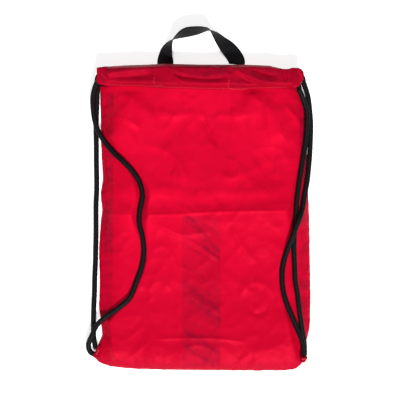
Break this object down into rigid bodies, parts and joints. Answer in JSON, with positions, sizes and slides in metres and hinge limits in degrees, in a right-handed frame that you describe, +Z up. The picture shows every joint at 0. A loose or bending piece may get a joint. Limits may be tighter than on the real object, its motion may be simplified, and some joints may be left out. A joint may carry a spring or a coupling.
{
  "type": "drawstring backpack",
  "caption": "Flat nylon drawstring sack with a tunnel hem, braided drawcords as shoulder straps and a webbing carry handle, lying on its back.",
  "frame": {"origin": "on the floor, under the middle of the box of the sack and its handle, cord legs left out", "axes": "+Y runs up the sack towards the mouth and handle, +X to the right as the front is seen, +Z up off the floor out of the front"},
  "size_m": [0.3558, 0.5374, 0.0287],
  "materials": {
    "panel_cloth": "woven nylon, soft sheen, tonal printed bands",
    "hem_cloth": "woven nylon, gathered",
    "red_thread": "polyester thread",
    "black_thread": "polyester thread",
    "black_cord": "braided polyester",
    "black_webbing": "flat woven polypropylene webbing"
  },
  "bodies": {
    "sack": {"back_panel": "panel_cloth", "front_panel": "panel_cloth", "left_side_seam": "panel_cloth", "right_side_seam": "panel_cloth", "bottom_seam": "panel_cloth", "front_casing": "hem_cloth", "back_casing": "hem_cloth", "front_casing_stitching": "red_thread", "back_casing_stitching": "red_thread", "front_end_stitching": "red_thread", "back_end_stitching": "red_thread", "handle_left_foot": "black_webbing", "handle_right_foot": "black_webbing", "handle_left_bartack": "black_thread", "handle_right_bartack": "black_thread", "left_corner_tab": "hem_cloth", "right_corner_tab": "hem_cloth", "left_corner_bartack": "red_thread", "right_corner_bartack": "red_thread", "left_cord_tunnel_run": "black_cord", "right_cord_tunnel_run": "black_cord", "left_cord_back_leg": "black_cord", "right_cord_front_leg": "black_cord", "right_cord_back_leg": "black_cord"},
    "handle": {"handle_loop": "black_webbing"},
    "left_front_strap": {"left_cord_front_leg": "black_cord"}
  },
  "joints": [
    {"name": "handle_flip", "type": "hinge", "parent": "sack", "child": "handle", "pos_m": [0, 0.2105, 0.0008], "axis": [1, 0, 0], "range_deg": [0, 40]},
    {"name": "left_front_swing", "type": "hinge", "parent": "sack", "child": "left_front_strap", "pos_m": [-0.1621, 0.1819, 0.022], "axis": [-0.0255, -0.9989, -0.0404], "range_deg": [0, 90]}
  ]
}
